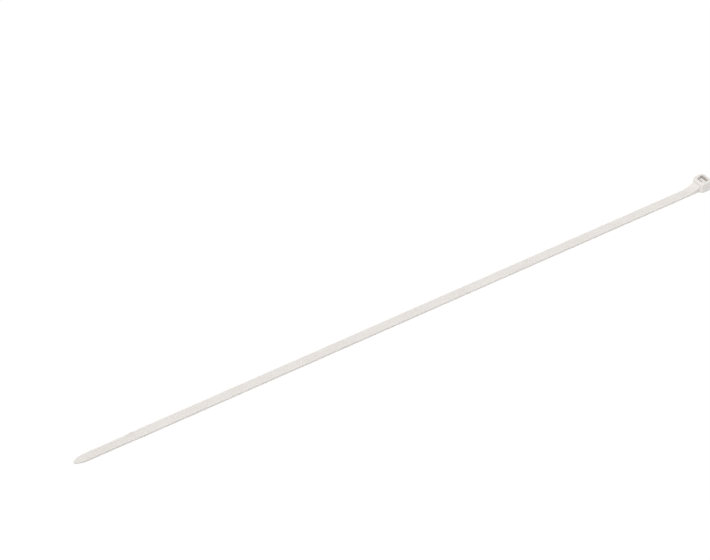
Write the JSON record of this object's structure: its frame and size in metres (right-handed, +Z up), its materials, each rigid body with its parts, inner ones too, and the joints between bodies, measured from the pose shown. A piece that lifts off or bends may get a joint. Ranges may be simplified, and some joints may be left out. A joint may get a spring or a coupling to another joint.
{
  "type": "cable tie",
  "caption": "One-piece moulded cable tie: toothed strap, pointed tail, and a head with a slot and a locking pawl.",
  "frame": {"origin": "centre of the head's slot, on the bearing face, which lies on the surface", "axes": "+X from the tail to the head's far end, +Z up through the slot in the way the strap's tail is pulled, +Y across the strap"},
  "size_m": [0.3699, 0.0082, 0.0058],
  "materials": {
    "nylon": "natural nylon, milky and slightly translucent, with the soft gloss of a moulded surface"
  },
  "bodies": {
    "root": {"cable_tie": "nylon"}
  },
  "joints": []
}
